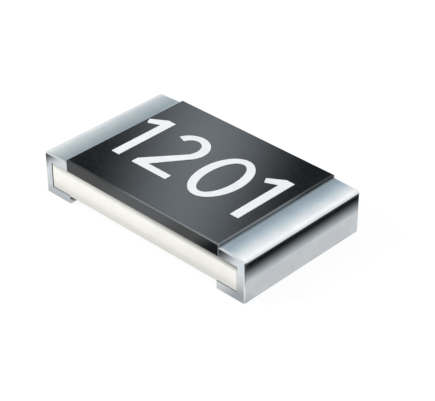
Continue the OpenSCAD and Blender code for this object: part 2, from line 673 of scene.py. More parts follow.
@dataclass(frozen=True)
class Finish:
    """A surface with a drifting tone and a fine grain in its gloss and relief.

    Lengths are in micrometres, and a patch or grain is about as wide as its size says.
    """

    name: str
    light: Colour
    dark: Colour
    patch_size: float
    grain_size: float
    smooth: float
    rough: float
    relief: float
    metallic: float = 0.0
    painted_edge_light: PaintedEdgeLight | None = None

    @staticmethod
    def _scale(size: float) -> float:
        """Gives the scale of a pattern whose parts have a size in micrometres."""
        return 1.0 / (size * MICRON)

    def _colour(self, board: Board) -> Socket:
        """Mixes the finish's drifting tone.

        Args:
            board: The material's board.

        Returns:
            The colour's socket.
        """
        drift = board.effect(
            Effects.tone_drift(), scale=self._scale(self.patch_size), light=self.light, dark=self.dark
        )
        return drift.outputs["Colour"]

    def _paint_edge_light(self, board: Board, colour: Socket) -> Socket:
        """Paints highlight and shade along the edges of the piece.

        Args:
            board: The material's board.
            colour: The colour away from the edges.

        Returns:
            The colour's socket.
        """
        painted_edge_light = self.painted_edge_light
        edge_masks = board.effect(
            Effects.edge_light_masks(), half_size=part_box(painted_edge_light.node)[1], width=painted_edge_light.width * MICRON,
            reach_down=painted_edge_light.reach_down,
        )
        steps = [board.math("MULTIPLY", axis, share) for axis, share in zip(board.axes(), painted_edge_light.heading)]
        span = tuple(length * MM for length in painted_edge_light.rise)
        strength = board.fade(board.math("ADD", *steps), span, RISING)
        for label, tone in (("End Wear", painted_edge_light.end_tone), ("Side Wear", painted_edge_light.side_tone)):
            mask = board.math("MULTIPLY", edge_masks.outputs[label], strength)
            colour = board.blend(colour, tone, mask)
        return colour

    def material(self) -> bpy.types.Material:
        """Makes the finish, or finds it if it is made already.

        Returns:
            The material.
        """
        found = bpy.data.materials.get(self.name)
        if found:
            return found
        made = bpy.data.materials.new(self.name)
        made.use_nodes = True
        board = Board(made.node_tree)
        shader = made.node_tree.nodes["Principled BSDF"]
        shader.inputs["Metallic"].default_value = self.metallic
        colour = self._colour(board)
        # Painted highlight and painted shade along the edges, where the finish has them.
        if self.painted_edge_light:
            colour = self._paint_edge_light(board, colour)
        board.feed(shader.inputs["Base Color"], colour)
        grain = board.effect(Effects.fine_grain(), scale=self._scale(self.grain_size)).outputs["Grain"]
        gloss = board.fade(grain, RISING, (self.smooth, self.rough), smooth=False)
        board.feed(shader.inputs["Roughness"], gloss)
        bump = board.add("ShaderNodeBump")
        bump.inputs["Distance"].default_value = 1.0
        board.feed(bump.inputs["Height"], board.math("MULTIPLY", grain, self.relief * MICRON))
        board.feed(shader.inputs["Normal"], bump.outputs["Normal"])
        self._extras(board, shader)
        return made

    def _extras(self, board: Board, shader: Node) -> None:
        """Adds what only one kind of finish has; a plain finish has nothing more."""


@dataclass(frozen=True)
class ShadedCeramicFinish(Finish):
    """Ceramic with painted shade: its sides are darker under the coat and towards their lower edge.

    Each shade is painted shade that darkens the tone at a share of the plate's height. A dark seam, as
    wide as its size in micrometres says, lies where the plating ends on the plate: at its ends and above
    the feet. It is a dark joint with painted shade in it. It has its first depth at the left end and its
    second at the right end. A painted shadow of the coat falls on the sides below it, from none to its
    full tone over a share of the height and over a length in millimetres.
    """

    node: str = "substrate"
    plating: str = "tin_plating_right"
    # Painted shade: the tone at each share of the height, darker towards the lower edge and under the coat.
    shades: tuple[Pair, ...] = (
        (0.0, 1.0), (0.01, 0.74), (0.2, 0.78), (0.33, 0.9), (0.5, 0.96),
        (0.75, 1.0), (0.87, 0.86), (0.96, 0.6), (1.0, 0.5),
    )
    end_seam: float = 19.0
    end_depths: Pair = (1.9, 0.27)
    foot_seam: float = 16.0
    # A dark joint with painted shade in it, where the plating ends on the plate.
    seam_shade_tone: Colour = (0.05, 0.055, 0.06, 1.0)
    # Painted shadow of the coat on the sides below it.
    coat_shadow_tone: Colour = (0.2, 0.2, 0.19, 1.0)
    coat_shadow_height: Pair = (0.79, 1.0)
    coat_shadow_length: Pair = (-0.7, 0.9)

    def _colour(self, board: Board) -> Socket:
        """Paints shade on the drifting tone by height, paints the coat's shadow below it and draws the
        seams.

        Args:
            board: The material's board.

        Returns:
            The colour's socket.
        """
        low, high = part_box(self.node)
        along, _, up = board.axes()
        share = board.fade(up, (low.z, high.z), RISING, smooth=False)
        # Painted shade by height.
        shades = board.ramp(share, {at: grey(shade) for at, shade in self.shades})
        shaded = board.blend(super()._colour(board), shades, 1.0, "MULTIPLY")
        # Painted shadow of the coat, from none at the left to full towards the right end.
        coat_shadow_span = tuple(length * MM for length in self.coat_shadow_length)
        coat_shadow = board.math(
            "MULTIPLY",
            board.fade(share, self.coat_shadow_height, RISING, smooth=False),
            board.fade(along, coat_shadow_span, RISING, smooth=False),
        )
        coat_shadowed = board.blend(shaded, self.coat_shadow_tone, coat_shadow)
        return board.blend(coat_shadowed, self.seam_shade_tone, self._seams(board, along, up))

    def _seams(self, board: Board, along: Socket, up: Socket) -> Socket:
        """Finds the lines where the plating ends on the plate, which carry painted shade.

        Args:
            board: The material's board.
            along: The place from end to end.
            up: The place in height.

        Returns:
            The socket of a mask, 1 in a seam.
        """
        low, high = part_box(self.node)
        outwards = board.math("ABSOLUTE", along)
        closeness = board.fade(outwards, (high.x - self.end_seam * MICRON, high.x), RISING)
        # Painted shade: the seam is deeper at the left end than at the right.
        depth = board.fade(along, (low.x, high.x), self.end_depths)
        at_end = board.math("MULTIPLY", closeness, depth)
        at_base = board.fade(up, (low.z, low.z + self.foot_seam * MICRON), FALLING)
        over_foot = board.math("GREATER_THAN", outwards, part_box(self.plating)[0].x)
        return board.math("MAXIMUM", at_end, board.math("MULTIPLY", at_base, over_foot))


@dataclass(frozen=True)
class PlatedFinish(Finish):
    """Bright plating with a dull seam beside the coat, painted darker as the shade of the coat's wall.

    The seam is full as far as its first length in micrometres, and has gone at its second. It leaves
    an edge bare along the sides of the plate.
    """

    coat: str = "overcoat"
    plate: str = "substrate"
    seam: Pair = (16.0, 34.0)
    # Painted shade of the coat's wall on the plating beside it.
    seam_shade_tone: Colour = (0.26, 0.335, 0.385, 1.0)
    bare_edge: float = 5.0

    def _seam(self, board: Board) -> Socket:
        """Finds the strip of the upper face beside the coat.

        Args:
            board: The material's board.

        Returns:
            The socket of a mask, 1 in the seam.
        """
        coat_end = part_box(self.coat)[1].x
        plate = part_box(self.plate)[1]
        along, across, up = board.axes()
        span = tuple(coat_end + length * MICRON for length in self.seam)
        strip = board.fade(board.math("ABSOLUTE", along), span, FALLING)
        on_top = board.math("GREATER_THAN", up, plate.z)
        side = plate.y - self.bare_edge * MICRON
        inside = board.math("LESS_THAN", board.math("ABSOLUTE", across), side)
        return board.math("MULTIPLY", board.math("MULTIPLY", strip, on_top), inside)

    def _colour(self, board: Board) -> Socket:
        """Lays the seam's painted shade beside the coat, and gives the colour's socket."""
        return board.blend(super()._colour(board), self.seam_shade_tone, self._seam(board))

    def _extras(self, board: Board, shader: Node) -> None:
        """Takes the metal's shine off the seam, where its shade is painted."""
        shine = board.math("SUBTRACT", self.metallic, self._seam(board))
        board.feed(shader.inputs["Metallic"], shine)


@dataclass(frozen=True)
class GlassFinish(Finish):
    """A fired glass that light passes through."""

    clearness: float = 0.6

    def _extras(self, board: Board, shader: Node) -> None:
        """Lets light through the glass."""
        shader.inputs["Transmission Weight"].default_value = self.clearness


TIN = PlatedFinish(
    "matte_tin_plating", (0.70, 0.73, 0.75, 1.0), (0.64, 0.67, 0.70, 1.0),
    patch_size=160.0, grain_size=14.0, smooth=0.05, rough=0.09, relief=0.03, metallic=1.0,
    # Painted highlight on the end edges, and darker painted shade on the upper edges of the long sides.
    painted_edge_light=PaintedEdgeLight(
        "tin_plating_right", 12.0, (0.93, 0.94, 0.95, 1.0), (0.5, 0.52, 0.53, 1.0), reach_down=1.8
    ),
)
NICKEL = Finish(
    "nickel_barrier_metal", (0.67, 0.64, 0.58, 1.0), (0.61, 0.58, 0.53, 1.0),
    patch_size=150.0, grain_size=18.0, smooth=0.25, rough=0.38, relief=0.15, metallic=1.0,
)
SILVER = Finish(
    "fired_silver_paste", (0.82, 0.80, 0.77, 1.0), (0.72, 0.70, 0.66, 1.0),
    patch_size=90.0, grain_size=12.0, smooth=0.4, rough=0.6, relief=0.5, metallic=1.0,
)
ALUMINA = ShadedCeramicFinish(
    "fired_alumina", (0.90, 0.89, 0.84, 1.0), (0.86, 0.85, 0.80, 1.0),
    patch_size=120.0, grain_size=16.0, smooth=0.45, rough=0.62, relief=0.25,
)
FILM = Finish(
    "ruthenium_oxide_film", (0.075, 0.075, 0.085, 1.0), (0.045, 0.045, 0.05, 1.0),
    patch_size=60.0, grain_size=10.0, smooth=0.35, rough=0.55, relief=0.4,
)
GLASS = GlassFinish(
    "fired_green_glass", (0.30, 0.42, 0.34, 1.0), (0.22, 0.34, 0.27, 1.0),
    patch_size=110.0, grain_size=40.0, smooth=0.05, rough=0.12, relief=0.1,
)
BLACK_COAT = Finish(
    "black_resin_coat", (0.0075, 0.0087, 0.010, 1.0), (0.006, 0.007, 0.008, 1.0),
    patch_size=140.0, grain_size=30.0, smooth=0.06, rough=0.1, relief=0.02,
    # Painted highlight along the coat's upper edges, growing towards the near right corner.
    painted_edge_light=PaintedEdgeLight(
        "overcoat", 14.0, (0.2, 0.225, 0.245, 1.0), (0.24, 0.265, 0.285, 1.0),
        reach_down=2.4, heading=(1.0, -1.2), rise=(0.35, 0.8),
    ),
)
INK = Finish(
    "white_marking_ink", (0.815, 0.84, 0.865, 1.0), (0.77, 0.79, 0.815, 1.0),
    patch_size=70.0, grain_size=12.0, smooth=0.45, rough=0.6, relief=0.2,
)


class SubAssembly:
    """Common ground of the chip's parts: how a shaped piece joins the chip."""

    def dress(self, piece: Piece, finish: Finish) -> None:
        """Gives an object one finish all over."""
        piece.data.materials.clear()
        piece.data.materials.append(finish.material())

    def settle(self, piece: Piece, finish: Finish, slot: Slot, *nodes: str) -> None:
        """Brings a shaped piece to metres, dresses it and ties it to the chip.

        Args:
            piece: The piece, shaped in millimetres.
            finish: Its finish.
            slot: The record's slot for that finish; not used.
            nodes: CAD nodes that the piece stands for.
        """
        Bench.polish(piece)
        Bench.to_metres(piece)
        self.dress(piece, finish)
        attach(piece, BODY)
        if nodes:
            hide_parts(*nodes)
        LOG.info("%s: %d faces", piece.name, len(piece.data.polygons))


@dataclass
class CeramicPlate(SubAssembly):
    """The alumina plate that carries everything, with its scribed lower edges."""

    box: NodeBox = field(default_factory=lambda: NodeBox.of("substrate"))
    scribe_bevel: float = 0.015
    broken_edge: float = 0.01
    snapped_corner: float = 0.009
    edge_segments: int = 3

    def build(self) -> None:
        """Shapes the plate and dresses it."""
        low, high = self.box.low, self.box.high
        plate = Bench.box("ceramic_plate", low, high)

        def stands(one: Vector, two: Vector) -> bool:
            """Tells whether an edge is upright."""
            return Bench.near(one.x, two.x) and Bench.near(one.y, two.y)

        def runs_along(one: Vector, two: Vector, level: float) -> bool:
            """Tells whether an edge runs from end to end at a level."""
            return Bench.near(one.y, two.y) and Bench.near(level, one.z, two.z)

        with Bench.shaping(plate, Pick.EDGES):
            Bench.pick(Pick.EDGES, plate, stands)
            Bench.round_off(self.snapped_corner, self.edge_segments)
            Bench.pick(Pick.EDGES, plate, lambda one, two: runs_along(one, two, low.z))
            Bench.round_off(self.scribe_bevel, 1)
            Bench.pick(Pick.EDGES, plate, lambda one, two: runs_along(one, two, high.z))
            Bench.round_off(self.broken_edge, self.edge_segments)
            Bench.weld()
        self.settle(plate, ALUMINA, Slot.ALUMINA, "substrate")


@dataclass
class Terminals(SubAssembly):
    """The two tin-plated, C-shaped solder terminals."""

    tin: NodeBox = field(default_factory=lambda: NodeBox.of("tin_plating_right"))
    nickel: NodeBox = field(default_factory=lambda: NodeBox.of("nickel_barrier_right"))
    plate: NodeBox = field(default_factory=lambda: NodeBox.of("substrate"))
    coat: NodeBox = field(default_factory=lambda: NodeBox.of("overcoat"))
    edge_radius: float = 0.012
    edge_segments: int = 5
    crown_fall: float = 0.011
    crown_power: float = 1.5
    crown_steps: int = 9
    step_power: float = 2.0
    reach_in: float = 0.05
    flat_angle: float = math.radians(1.0)

    def _wrap(self) -> Piece:
        """Shapes the outer form of the right-hand terminal.

        Returns:
            The solid terminal, rounded along its outer edges.
        """
        low, high = self.tin.low, self.tin.high
        wall = Vector((self.plate.high.x, low.y, low.z))
        piece = Bench.box("tin_terminal_right", wall, high)
        with Bench.shaping(piece, Pick.FACES):
            for level in (self.plate.low.z, self.plate.high.z):
                Bench.split((0.0, 0.0, level), UP)
            for level, reach in ((high.z, self.coat.high.x), (low.z, low.x)):
                Bench.pick(Pick.FACES, piece, lambda face: self._is_root(face, wall.x, level))
                Bench.extrude((reach - wall.x, 0.0, 0.0))
            Bench.pick_all()
            bpy.ops.mesh.dissolve_limited(angle_limit=self.flat_angle)
            self._crown(piece)
            Bench.pick(Pick.EDGES, piece, self._is_outer_edge)
            Bench.round_off(self.edge_radius, self.edge_segments)
        return piece

    @staticmethod
    def _is_root(face: Face, inner: float, level: float) -> bool:
        """Tells whether a face of the wall is where the arm or the foot grows.

        Args:
            face: The face.
            inner: The place of the wall's inner side, along X.
            level: The height of the arm's top or of the foot's base.

        Returns:
            True for the part of the inner side that reaches the level.
        """
        corners = [point.co for point in face.verts]
        on_side = all(Bench.near(at.x, inner) for at in corners)
        return on_side and any(Bench.near(at.z, level) for at in corners)

    def _crown(self, piece: Piece) -> None:
        """Lets the upper face fall away towards the end of the chip, as plating does.

        The cuts lie closer where the fall starts, so that each step turns the face by as much.

        Args:
            piece: The terminal, open in edit mode.
        """
        inner, outer, top = self.coat.high.x, self.tin.high.x, self.tin.high.z
        steps = range(1, self.crown_steps + 1)
        shares = [(step / self.crown_steps) ** self.step_power for step in steps]
        places = [inner + share * (outer - inner) for share in shares]
        for place in places[:-1]:
            Bench.pick(Pick.FACES, piece, lambda face: Bench.near(face.calc_center_median().z, top))
            bpy.ops.mesh.bisect(plane_co=(place, 0.0, 0.0), plane_no=ALONG)
        for share, place in zip(shares, places):
            Bench.pick(Pick.POINTS, piece, lambda at: Bench.near(at.x, place) and Bench.near(at.z, top))
            Bench.move((0.0, 0.0, -self.crown_fall * share ** self.crown_power))

    def _is_outer_edge(self, one: Vector, two: Vector) -> bool:
        """Tells whether an edge is one of those that the plating rounds.

        Args:
            one: One end of the edge.
            two: Its other end.

        Returns:
            True for an edge of the skin, False for one that meets the plate or the coat.
        """
        low, high = self.tin.low, self.tin.high
        at_end = Bench.near(high.x, one.x, two.x)
        at_inner_end = Bench.near(low.x, one.x, two.x)
        at_side = Bench.near(low.y, one.y, two.y) or Bench.near(high.y, one.y, two.y)
        at_base = Bench.near(low.z, one.z, two.z)
        at_top = min(one.z, two.z) > high.z - self.crown_fall - Bench.NEAR
        return (
            (at_end and (at_side or at_base or at_top))
            or (at_side and (at_base or at_top))
            or (at_inner_end and at_base)
        )

    def _core(self) -> Piece:
        """Shapes the space inside the tin, open towards the plate and the coat.

        Returns:
            The solid that is taken out of the terminal.
        """
        low, high = self.nickel.low.copy(), self.nickel.high.copy()
        low.x = self.tin.low.x + self.nickel.low.z
        core = Bench.box("terminal_core", low, high)
        shoulder = self.plate.low.z + self.reach_in

        def is_upper_side(face: Face) -> bool:
            """Tells whether a face looks inwards above the foot."""
            return face.normal.x < -Bench.FACING and face.calc_center_median().z > shoulder

        with Bench.shaping(core, Pick.FACES):
            Bench.split((0.0, 0.0, shoulder), UP)
            Bench.pick(Pick.FACES, core, is_upper_side)
            Bench.extrude((self.tin.low.x - self.reach_in - low.x, 0.0, 0.0))
        return core

    def build(self) -> None:
        """Shapes the right-hand terminal, copies it to the left and dresses both."""
        right = self._wrap()
        Bench.carve(right, self._core())
        left = Bench.copy(right, "tin_terminal_left")
        left.scale.x = Side.LEFT.value
        Bench.freeze(left)
        for piece, node in ((left, "tin_plating_left"), (right, "tin_plating_right")):
            with Bench.shaping(piece, Pick.FACES):
                Bench.turn_out()
            self.settle(piece, TIN, Slot.TIN, node)


@dataclass
class ProtectiveCoat(SubAssembly):
    """The black coat over the film, hollow underneath where the inner layers lie."""

    box: NodeBox = field(default_factory=lambda: NodeBox.of("overcoat"))
    conductor: NodeBox = field(default_factory=lambda: NodeBox.of("top_conductor_right"))
    glass: NodeBox = field(default_factory=lambda: NodeBox.of("glass_coat"))
    edge_radius: float = 0.012
    edge_segments: int = 4
    reach_past: float = 0.05
    film_step: float = 0.035

    def _outer(self) -> Piece:
        """Shapes the outside of the coat.

        Returns:
            A block whose upper edges are rounded.
        """
        coat = Bench.box("protective_coat", self.box.low, self.box.high)
        top = self.box.high.z
        with Bench.shaping(coat, Pick.EDGES):
            Bench.pick(Pick.EDGES, coat, lambda one, two: Bench.near(top, one.z, two.z))
            Bench.round_off(self.edge_radius, self.edge_segments)
        return coat

    def _film_pocket(self) -> Piece:
        """Shapes the space of the film and its glass, which climb onto both conductors.

        Returns:
            The stepped solid.
        """
        low, high = self.glass.low.copy(), self.glass.high.copy()
        step_at = self.conductor.low.x - self.film_step
        middle_top = self.glass.low.z + self.film_step
        high.z = middle_top
        low.z -= self.reach_past
        pocket = Bench.box("film_pocket", low, high)

        def climbs(face: Face) -> bool:
            """Tells whether a face is the upper one over a conductor."""
            return face.normal.z > Bench.FACING and abs(face.calc_center_median().x) > step_at

        with Bench.shaping(pocket, Pick.FACES):
            for side in Side:
                Bench.split((side.value * step_at, 0.0, 0.0), ALONG)
            Bench.pick(Pick.FACES, pocket, climbs)
            Bench.extrude((0.0, 0.0, self.glass.high.z - middle_top))
        return pocket

    def _conductor_pocket(self, side: Side) -> Piece:
        """Shapes the space of one upper conductor.

        Args:
            side: The end of the chip.

        Returns:
            The block.
        """
        low = self.conductor.low - Vector((0.0, 0.0, self.reach_past))
        high = self.conductor.high.copy()
        if side is Side.LEFT:
            low.x, high.x = -high.x, -low.x
        return Bench.box("conductor_pocket", low, high)

    def build(self) -> None:
        """Shapes the coat and dresses it."""
        coat = self._outer()
        for side in Side:
            Bench.carve(coat, self._conductor_pocket(side))
        Bench.carve(coat, self._film_pocket())
        self.settle(coat, BLACK_COAT, Slot.BLACK_COAT, "overcoat")


@dataclass
class Marking(SubAssembly):
    """The printed resistance value, a thin layer of white ink on the coat.

    Each numeral has its left edge at a place along X. The bowl of the two has shares of the numeral's
    width and height, and spans angles in degrees.
    """

    coat: NodeBox = field(default_factory=lambda: NodeBox.of("overcoat"))
    row: tuple[tuple[Glyph, float], ...] = (
        (Glyph.ONE, -0.645), (Glyph.TWO, -0.425), (Glyph.ZERO, 0.027), (Glyph.ONE, 0.6),
    )
    baseline: float = -0.298
    height: float = 0.612
    stem: float = 0.079
    bar: float = 0.063
    zero_width: float = 0.396
    two_width: float = 0.36
    bowl_share: Pair = (0.48, 0.29)
    bowl_span: Pair = (-42.0, 155.0)
    heel_width: float = 0.115
    flag_reach: float = 0.13
    flag_drop: float = 0.084
    flag_root: float = 0.09
    flag_end: Pair = (0.028, -0.052)
    ink_thickness: float = 0.004
    ink_edge: float = 0.0012
    edge_segments: int = 2
    ring_points: int = 64

    def _one(self) -> Piece:
        """Draws a stem with a flag.

        Returns:
            The flat numeral, with its stem's foot at the origin.
        """
        Bench.clear()
        bpy.ops.mesh.primitive_plane_add(size=1.0, location=(self.stem / 2, self.height / 2, 0.0))
        piece = Bench.fresh("numeral_one")
        piece.scale = (self.stem, self.height, 1.0)
        Bench.freeze(piece)
        root = self.height - self.flag_root
        tip = root - self.flag_drop

        def is_flag_root(one: Vector, two: Vector) -> bool:
            """Tells whether an edge is the one that the flag grows from."""
            return Bench.near(0.0, one.x, two.x) and min(one.y, two.y) > root - Bench.NEAR

        with Bench.shaping(piece, Pick.EDGES):
            Bench.split((0.0, root, 0.0), ACROSS)
            Bench.pick(Pick.EDGES, piece, is_flag_root)
            Bench.extrude((-self.flag_reach, -self.flag_drop, 0.0))
            Bench.pick(Pick.POINTS, piece, lambda at: at.x < -Bench.NEAR and Bench.near(at.y, tip))
            Bench.move((self.flag_end[0], self.flag_root + self.flag_end[1], 0.0))
        return piece

    def _ring(self, name: str, middle: Vector, outer: Vector) -> Piece:
        """Draws an oval ring, as thick as a stem at its sides and as a bar above and below.

        Args:
            name: Name of the piece.
            middle: Centre of the oval.
            outer: Half sizes of the oval.

        Returns:
            The flat ring.
        """
        inner = outer - Vector((self.stem, self.bar, 0.0))
        Bench.clear()
        bpy.ops.mesh.primitive_circle_add(vertices=self.ring_points, radius=1.0)
        piece = Bench.fresh(name)
        with Bench.shaping(piece, Pick.EDGES):
            Bench.pick_all()
            bpy.ops.transform.resize(value=(outer.x, outer.y, 1.0), center_override=ORIGIN)
            Bench.open_mesh(piece)
            bpy.ops.mesh.primitive_circle_add(vertices=self.ring_points, radius=1.0)
            bpy.ops.transform.resize(value=(inner.x, inner.y, 1.0), center_override=ORIGIN)
            Bench.pick_all()
            bpy.ops.mesh.bridge_edge_loops()
        piece.location = middle
        Bench.freeze(piece)
        return piece

    def _zero(self) -> Piece:
        """Draws an oval, with its left edge at the origin."""
        half = Vector((self.zero_width / 2, self.height / 2, 0.0))
        return self._ring("numeral_zero", half, half)

    def _two(self) -> Piece:
        """Draws a bowl that runs down a slope into a straight foot.

        Returns:
            The flat numeral, with its left edge at the origin.
        """
        half = Vector((self.two_width * self.bowl_share[0], self.height * self.bowl_share[1], 0.0))
        middle = Vector((half.x, self.height - half.y, 0.0))
        piece = self._ring("numeral_two", middle, half)
        from_angle, to_angle = (math.radians(angle) for angle in self.bowl_span)

        def turn(at: Vector) -> float:
            """Gives the angle of a place round the middle of the bowl."""
            return math.atan2(at.y - middle.y, at.x - middle.x)

        def is_left_out(face: Face) -> bool:
            """Tells whether a face of the ring lies outside the bowl."""
            return not from_angle < turn(face.calc_center_median()) < to_angle

        with Bench.shaping(piece, Pick.FACES):
            Bench.pick(Pick.FACES, piece, is_left_out)
            bpy.ops.mesh.delete(type="FACE")
            mesh = Bench.open_mesh(piece)
            spokes = [
                [point.co.copy() for point in edge.verts]
                for edge in mesh.edges if edge.calc_length() > self.bar / 2
            ]
            slope_start = min(spokes, key=lambda ends: turn((ends[0] + ends[1]) / 2))
            self._lay_foot(piece, sorted(slope_start, key=lambda end: end.x))
        return piece

    def _lay_foot(self, piece: Piece, ends: list[Vector]) -> None:
        """Leads the bowl of the two down a slope to its straight foot.

        Args:
            piece: The numeral, open in edit mode.
            ends: Ends of the edge where the slope starts, the left one first.
        """
        bar, heel = self.bar, self.heel_width
        targets = (Vector((0.0, bar, 0.0)), Vector((heel, bar, 0.0)))
        carry = (targets[0] + targets[1] - ends[0] - ends[1]) / 2

        def joins(one: Vector, two: Vector) -> bool:
            """Tells whether an edge is the one where the slope starts."""
            found = sorted((one, two), key=lambda end: end.x)
            return all((at - end).length < Bench.NEAR for at, end in zip(found, ends))

        def is_heel(one: Vector, two: Vector) -> bool:
            """Tells whether an edge is the upright one that the foot grows from."""
            return Bench.near(heel, one.x, two.x) and max(one.y, two.y) < bar + Bench.NEAR

        Bench.pick(Pick.EDGES, piece, joins)
        Bench.extrude(tuple(carry))
        for end, target in zip(ends, targets):
            place = end + carry
            Bench.pick(Pick.POINTS, piece, lambda at: (at - place).length < Bench.NEAR)
            Bench.move(tuple(target - place))
        Bench.pick(Pick.EDGES, piece, lambda one, two: Bench.near(bar, one.y, two.y))
        Bench.extrude((0.0, -bar, 0.0))
        Bench.pick(Pick.EDGES, piece, is_heel)
        Bench.extrude((self.two_width - heel, 0.0, 0.0))

    def _thicken(self, piece: Piece) -> None:
        """Gives a flat numeral the thickness of the ink, with softened upper edges.

        Args:
            piece: The numeral.
        """
        with Bench.shaping(piece, Pick.FACES):
            Bench.weld()
            Bench.extrude((0.0, 0.0, self.ink_thickness))
            Bench.turn_out()
            Bench.pick(Pick.FACES, piece, lambda face: face.normal.z > Bench.FACING)
            bpy.ops.mesh.region_to_loop()
            Bench.round_off(self.ink_edge, self.edge_segments)

    def build(self) -> None:
        """Draws each numeral once, sets the row and dresses it."""
        drawn = {Glyph.ONE: self._one(), Glyph.TWO: self._two(), Glyph.ZERO: self._zero()}
        for piece in drawn.values():
            self._thicken(piece)
        placed = []
        for glyph, left in self.row:
            numeral = Bench.copy(drawn[glyph], "value_marking")
            numeral.location = (left, self.baseline, self.coat.high.z)
            Bench.freeze(numeral)
            placed.append(numeral)
        for piece in drawn.values():
            Bench.drop(piece)
        Bench.take(placed[0])
        for numeral in placed[1:]:
            numeral.select_set(True)
        bpy.ops.object.join()
        self.settle(Bench.fresh("value_marking"), INK, Slot.INK)


@dataclass
class InnerLayers(SubAssembly):
    """The layers under the coat and the tin, whose CAD solids stay as they are.

    Each finish goes to the nodes whose names start with its word.
    """

    finishes: dict[str, Finish] = field(
        default_factory=lambda: {
            "top_conductor": SILVER, "bottom_conductor": SILVER, "edge_conductor": SILVER,
            "nickel_barrier": NICKEL, "resistive_film": FILM, "glass_coat": GLASS,
        }
    )

    def build(self) -> None:
        """Dresses each inner node."""
        for node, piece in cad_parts.items():
            for start, finish in self.finishes.items():
                if node.startswith(start):
                    self.dress(piece, finish)
                    LOG.info("%s: %s", node, finish.name)


class StageCard:
    """A card that only reflections show, as a studio hangs them round a shiny thing.

    Its own X and Y run from -1 to 1 mm, and are spread to its real size.
    """

    OWN_SPAN = (-1.0, 1.0)
    OWN_SIZE = 2.0 * MM

    name: str

    def shape(self) -> Piece:
        """Adds the card's mesh where it belongs."""
        raise NotImplementedError

    def glow(self, board: Board, across: Socket, up: Socket) -> Socket:
        """Wires what reflections show of the card, by its own X and Y from -1 to 1.

        Args:
            board: The card's board.
            across: The card's own X.
            up: The card's own Y.

        Returns:
            The shader's socket.
        """
        raise NotImplementedError

    def sheet(self, place: Vector, facing: Vector, half: Pair, lean: float = 0.0) -> Piece:
        """Adds a flat card.

        Args:
            place: Its middle, in millimetres.
            facing: The way its own Z points.
            half: Half its width and half its height, in millimetres.
            lean: Its turn about its own Z, in degrees.

        Returns:
            The card.
        """
        Bench.clear()
        bpy.ops.mesh.primitive_plane_add(size=self.OWN_SIZE, location=place * MM)
        card = Bench.fresh(self.name)
        turn = facing.to_track_quat("Z", "Y") @ Quaternion(UP, math.radians(lean))
        card.rotation_euler = turn.to_euler()
        card.scale = (*half, 1.0)
        return card

    def hang(self) -> None:
        """Puts the card in place and shows it to reflections alone."""
        card = self.shape()
        made = bpy.data.materials.new(f"{self.name}_glow")
        board, surface = Board.blank(made)
        across, up = (board.math("DIVIDE", axis, MM) for axis in board.axes()[:2])
        board.feed(surface, self.glow(board, across, up))
        card.data.materials.append(made)
        card.visible_camera = False
        card.visible_diffuse = False
        card.visible_shadow = False
        card.visible_transmission = False


@dataclass
class FarCard(StageCard):
    """A card far off, square to the way that leads to it.

    The way is an azimuth from X towards Y and an elevation above the floor. Like the half spans and
    the lean, they are in degrees.
    """

    name: str
    way: Pair
    distance: float
    half_span: Pair
    lean: float
    level: float

    def shape(self) -> Piece:
        """Hangs the card.

        Returns:
            The card.
        """
        turn, rise = (math.radians(angle) for angle in self.way)
        level_way = Vector((math.cos(turn), math.sin(turn), 0.0))
        way = level_way * math.cos(rise) + Vector(UP) * math.sin(rise)
        half = tuple(self.distance * math.tan(math.radians(angle)) for angle in self.half_span)
        return self.sheet(way * self.distance, way, half, self.lean)


@dataclass
class SkyCard(FarCard):
    """The big card that the upper faces mirror, dark across its middle and white above and below.

    Each tone holds at an angle above the middle, or below it if negative.
    """

    name: str = "sky_card"
    way: Pair = (134.16, 32.44)
    distance: float = 300.0
    half_span: Pair = (20.0, 18.0)
    lean: float = 32.5
    level: float = 1.5
    edge: Pair = (0.85, 1.0)
    tones: tuple[tuple[float, Colour], ...] = (
        (-9.8, (0.74, 0.74, 0.73, 1.0)),
        (-8.6, (0.53, 0.55, 0.555, 1.0)),
        (-7.5, (0.40, 0.44, 0.455, 1.0)),
        (-6.4, (0.325, 0.37, 0.39, 1.0)),
        (-4.2, (0.26, 0.30, 0.33, 1.0)),
        (-2.9, (0.008, 0.01, 0.012, 1.0)),
        (2.9, (0.008, 0.01, 0.012, 1.0)),
        (3.8, (0.20, 0.26, 0.285, 1.0)),
        (5.4, (0.26, 0.31, 0.345, 1.0)),
        (6.6, (0.33, 0.395, 0.44, 1.0)),
        (7.4, (0.425, 0.485, 0.52, 1.0)),
        (8.3, (0.66, 0.69, 0.70, 1.0)),
        (9.4, (0.92, 0.90, 0.88, 1.0)),
    )

    def glow(self, board: Board, across: Socket, up: Socket) -> Socket:
        """Grades the card by height and fades its rim.

        Args:
            board: The card's board.
            across: The card's own X.
            up: The card's own Y.

        Returns:
            The shader's socket.
        """
        share = board.fade(up, self.OWN_SPAN, RISING, smooth=False)
        stops = {(1.0 + angle / self.half_span[1]) / 2: tone for angle, tone in self.tones}
        rim = board.math("MAXIMUM", board.math("ABSOLUTE", across), board.math("ABSOLUTE", up))
        light = board.light(board.ramp(share, stops), self.level)
        return board.mix(board.fade(rim, self.edge, FALLING), board.clear(), light)


@dataclass
class StripCard(FarCard):
    """The narrow leaning light that lies across the black coat as a soft band.

    It keeps its full level along a share of its length, and fades towards both ends.
    """

    name: str = "strip_card"
    way: Pair = (135.66, 34.6)
    distance: float = 290.0
    half_span: Pair = (4.15, 9.0)
    lean: float = -23.0
    level: float = 1.98
    full_length: float = 0.35
    tone: Colour = (0.905, 1.0, 1.08, 1.0)

    def glow(self, board: Board, across: Socket, up: Socket) -> Socket:
        """Adds the strip's light to what is behind it.

        Args:
            board: The card's board.
            across: The card's own X.
            up: The card's own Y.

        Returns:
            The shader's socket.
        """
        body = board.fade(board.math("ABSOLUTE", across), RISING, (self.level, 0.0))
        ends = board.fade(board.math("ABSOLUTE", up), (self.full_length, 1.0), FALLING)
        light = board.light(self.tone, board.math("MULTIPLY", body, ends))
        return board.feed_all(board.add("ShaderNodeAddShader"), light, board.clear())


